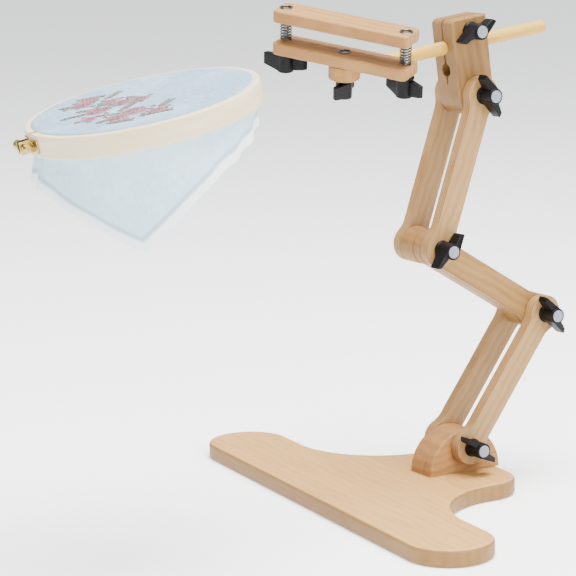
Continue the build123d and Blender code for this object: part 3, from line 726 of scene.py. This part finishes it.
sprays = (  # start and end of each stem with leaves
    ((-0.0189, -0.0725), (-0.012, -0.048)), ((-0.0646, -0.0553), (-0.055, -0.042)),
    ((0.0358, -0.060), (0.038, -0.044)), ((-0.030, -0.030), (-0.012, -0.0127)),
    ((-0.0293, -0.0008), (-0.008, 0.004)), ((0.008, -0.052), (0.030, -0.030)),
    ((0.060, -0.028), (0.070, -0.004)), ((-0.078, -0.030), (-0.066, -0.012)),
    ((-0.030, -0.052), (-0.016, -0.034)), ((0.014, -0.026), (0.002, -0.010)),
    ((0.050, -0.056), (0.062, -0.040)), ((-0.050, -0.014), (-0.062, 0.004)), ((0.046, -0.002), (0.034, 0.014)),
)


def spunThread(name, colour):
    # stranded embroidery cotton: mercerised, so it has a soft silky sheen
    material = newMaterial(name, threadLook["common"])
    place = addNode(material, "ShaderNodeTexCoord")
    twist = addNode(material, "ShaderNodeTexNoise", {"Scale": threadLook["twistScale"], "Detail": 2.0},
                    {"Vector": (place, "Object")})
    shade = ramp(material, twist, "Fac", ((0.35, 0.0), (0.75, 0.3)))
    tint = addNode(material, "ShaderNodeMix",
                   {"data_type": "RGBA", "A": toLinear(colour), "B": toLinear(threadLook["lightHex"])},
                   {"Factor": (shade, "Color")})
    bump = addNode(material, "ShaderNodeBump", {"Strength": 0.3, "Distance": threadLook["bump"]},
                   {"Height": (twist, "Fac")})
    wire(material, (tint, "Result"), None, (bump, "Normal"))
    return material


threadNames = list(threads)
draw = random.Random(stitch["seed"])
mesh = bmesh.new()


def sew(x, y, angle, length, thread):
    # one stitch: a low bar of thread, narrower on top and at its ends
    made = bmesh.ops.create_cube(mesh, size=1.0)["verts"]
    for vert in made:
        taper = stitch["taper"] if vert.co.z > 0 else 1.0
        ends = 0.75 + 0.25 * taper
        vert.co = Vector((vert.co.x * length * ends, vert.co.y * stitch["width"] * taper, vert.co.z * stitch["high"]))
    turn = Matrix.Translation((x, y, cloth["top"] + stitch["high"] / 2)) @ Matrix.Rotation(angle, 4, "Z")
    bmesh.ops.transform(mesh, matrix=turn, verts=made)
    for face in {face for vert in made for face in vert.link_faces}:
        face.material_index = threadNames.index(thread)


for x, y, size in roses:
    count = 2 * max(stitch["fewest"], int(size * stitch["perMetre"]))
    for number in range(count):
        # petals spiral out from the deep middle to the pale rim
        share = number / count
        angle = number * stitch["turn"]
        reach = size * math.sqrt(share)
        deep = share < 0.3 or draw.random() < 0.2
        thread = "roseDeep" if deep else ("rose" if share < 0.72 else "rosePale")
        lie = angle + math.pi / 2 + draw.uniform(-stitch["stray"], stitch["stray"])
        length = stitch["length"] * draw.uniform(0.7, 1.15)
        sew(x + math.cos(angle) * reach, y + math.sin(angle) * reach, lie, length, thread)
    for side in range(4):
        angle = side * math.pi / 2 + draw.uniform(-stitch["stray"], stitch["stray"])
        reach = size * stitch["leafReach"]
        for row in (-1, 0, 1):
            shift = row * stitch["leafApart"]
            leafX = x + math.cos(angle) * reach - math.sin(angle) * shift
            leafY = y + math.sin(angle) * reach + math.cos(angle) * shift
            thread = "leafDark" if row else "leafPale"
            sew(leafX, leafY, angle + row * stitch["leafSpread"], stitch["length"] * 1.1, thread)
for (x0, y0), (x1, y1) in sprays:
    way = math.atan2(y1 - y0, x1 - x0)
    for number in range(stitch["steps"]):
        share = number / (stitch["steps"] - 1)
        x, y = x0 + (x1 - x0) * share, y0 + (y1 - y0) * share
        sew(x, y, way, stitch["length"], "leafDark")
        for side in (1, -1):
            lean = way + side * stitch["lean"]
            leafX, leafY = x + math.cos(lean) * stitch["leanReach"], y + math.sin(lean) * stitch["leanReach"]
            sew(leafX, leafY, lean, stitch["length"], "leafPale" if number % 2 else "leafDark")
mesh.transform(hoopFrame)
stitches = addPiece("embroideredRoses", mesh, [spunThread(f"mercerisedThread_{name}", threads[name])
                                               for name in threadNames], "hoop", smooth=False)
print("embroidery sewn")
